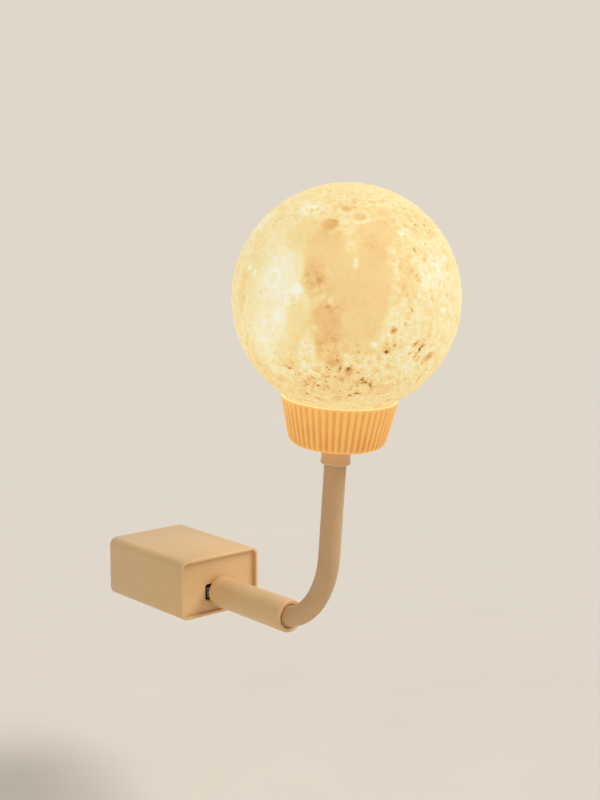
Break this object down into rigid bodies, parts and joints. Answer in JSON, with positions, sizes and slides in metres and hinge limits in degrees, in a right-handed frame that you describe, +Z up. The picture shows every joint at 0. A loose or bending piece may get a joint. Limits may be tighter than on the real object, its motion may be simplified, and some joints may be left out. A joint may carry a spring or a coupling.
{
  "type": "moon lamp",
  "caption": "Plug-in night light: a cratered globe shade on a fluted cup, held by a bendable neck whose plug stands in the port of a mains adapter.",
  "frame": {"origin": "centre of the adapter's back face, which lies against the wall", "axes": "+X along the wall to the right as one faces it, +Y into the wall, +Z up; the lamp stands out from the wall along -Y"},
  "size_m": [0.1, 0.2215, 0.2137],
  "materials": {
    "housing_plastic": "satin moulded plastic, warm ivory in the light of its own shade",
    "barrel_plastic": "satin moulded plastic, warm ivory in the light of its own shade",
    "collar_plastic": "satin moulded plastic, warm ivory in the light of its own shade",
    "cup_plastic": "translucent moulded plastic, lit from inside",
    "moon_plastic": "printed translucent plastic with a cratered skin, lit from inside",
    "ring_plastic": "moulded plastic",
    "neck_silicone": "smooth matt silicone sleeve",
    "pin_brass": "stamped and polished",
    "contact_gold": "gold flashed",
    "plated_steel": "nickel plated",
    "black_plastic": "moulded",
    "board_green": "solder resist",
    "board_white": "white solder resist",
    "ferrite": "sintered",
    "winding_tape": "polyester tape over copper wire",
    "capacitor_sleeve": "heat-shrunk sleeve",
    "fuse_body": "ceramic tube",
    "resistor_ceramic": "chip resistor",
    "light_chip": "phosphor under clear resin",
    "wire_insulation": "insulated wire"
  },
  "bodies": {
    "adapter": {"adapter_housing": "housing_plastic", "adapter_front_plate": "housing_plastic", "adapter_back_plate": "housing_plastic", "mains_pins": "pin_brass", "pin_leads": "pin_brass", "port_shell": "plated_steel", "port_tongue": "black_plastic", "port_contacts": "contact_gold", "adapter_board": "board_green", "transformer_core": "ferrite", "transformer_winding": "winding_tape", "input_capacitors": "capacitor_sleeve", "output_capacitor": "capacitor_sleeve", "rectifier": "black_plastic", "fuse": "fuse_body", "controller_chip": "black_plastic"},
    "plug": {"plug_barrel": "barrel_plastic", "usb_shell": "plated_steel", "usb_insulator": "black_plastic", "usb_contacts": "contact_gold", "plug_board": "board_green", "driver_chip": "black_plastic", "driver_resistors": "resistor_ceramic", "neck_foot": "neck_silicone", "lower_ferrule": "plated_steel", "gland_ring": "neck_silicone", "neck_wires": "wire_insulation"},
    "neck_1": {"neck_link_01": "neck_silicone"},
    "neck_2": {"neck_link_02": "neck_silicone"},
    "neck_3": {"neck_link_03": "neck_silicone"},
    "neck_4": {"neck_link_04": "neck_silicone"},
    "neck_5": {"neck_link_05": "neck_silicone"},
    "neck_6": {"neck_link_06": "neck_silicone"},
    "neck_7": {"neck_link_07": "neck_silicone"},
    "neck_8": {"neck_link_08": "neck_silicone"},
    "neck_9": {"neck_link_09": "neck_silicone"},
    "head": {"neck_tip": "neck_silicone", "neck_collar": "collar_plastic", "nut_washer": "plated_steel", "collar_nut": "plated_steel", "base_cup": "cup_plastic", "led_board": "board_white", "led_chips": "light_chip", "led_resistors": "resistor_ceramic", "board_screws": "plated_steel", "shade_ring": "ring_plastic", "moon_shade": "moon_plastic"}
  },
  "joints": [
    {"name": "plug_slide", "type": "slide", "parent": "adapter", "child": "plug", "axis": [0, -1, 0], "range_m": [0, 0.016]},
    {"name": "neck_lower_bend", "type": "hinge", "parent": "plug", "child": "neck_1", "pos_m": [0, -0.1185, -0.0038], "axis": [-1, 0, 0], "range_deg": [-26, 12], "deforming": ["neck_wires"]},
    {"name": "neck_lower_bend_2", "type": "hinge", "parent": "neck_1", "child": "neck_2", "pos_m": [0, -0.12704, 0.00036], "axis": [-1, 0, 0], "range_deg": [-15, 6.9]},
    {"name": "neck_lower_bend_3", "type": "hinge", "parent": "neck_2", "child": "neck_3", "pos_m": [0, -0.13421, 0.0066], "axis": [-1, 0, 0], "range_deg": [-15, 6.9]},
    {"name": "neck_lower_bend_4", "type": "hinge", "parent": "neck_3", "child": "neck_4", "pos_m": [0, -0.1398, 0.01489], "axis": [-1, 0, 0], "range_deg": [-13, 6]},
    {"name": "neck_lower_bend_5", "type": "hinge", "parent": "neck_4", "child": "neck_5", "pos_m": [0, -0.14374, 0.02516], "axis": [-1, 0, 0], "range_deg": [-16, 7.4]},
    {"name": "neck_side_bend", "type": "hinge", "parent": "neck_5", "child": "neck_6", "pos_m": [0, -0.14474, 0.03661], "axis": [0, 0.9962, 0.0872], "range_deg": [-15, 15]},
    {"name": "neck_upper_bend", "type": "hinge", "parent": "neck_6", "child": "neck_7", "pos_m": [0, -0.14549, 0.04518], "axis": [-1, 0, 0], "range_deg": [-18, 18]},
    {"name": "neck_side_bend_2", "type": "hinge", "parent": "neck_7", "child": "neck_8", "pos_m": [0, -0.14624, 0.05375], "axis": [0, 0.9962, 0.0872], "range_deg": [-15, 15]},
    {"name": "neck_upper_bend_2", "type": "hinge", "parent": "neck_8", "child": "neck_9", "pos_m": [0, -0.14699, 0.06231], "axis": [-1, 0, 0], "range_deg": [-18, 18]},
    {"name": "neck_side_bend_3", "type": "hinge", "parent": "neck_9", "child": "head", "pos_m": [0, -0.14774, 0.07088], "axis": [0, 0.9962, 0.0872], "range_deg": [-15, 15]}
  ]
}
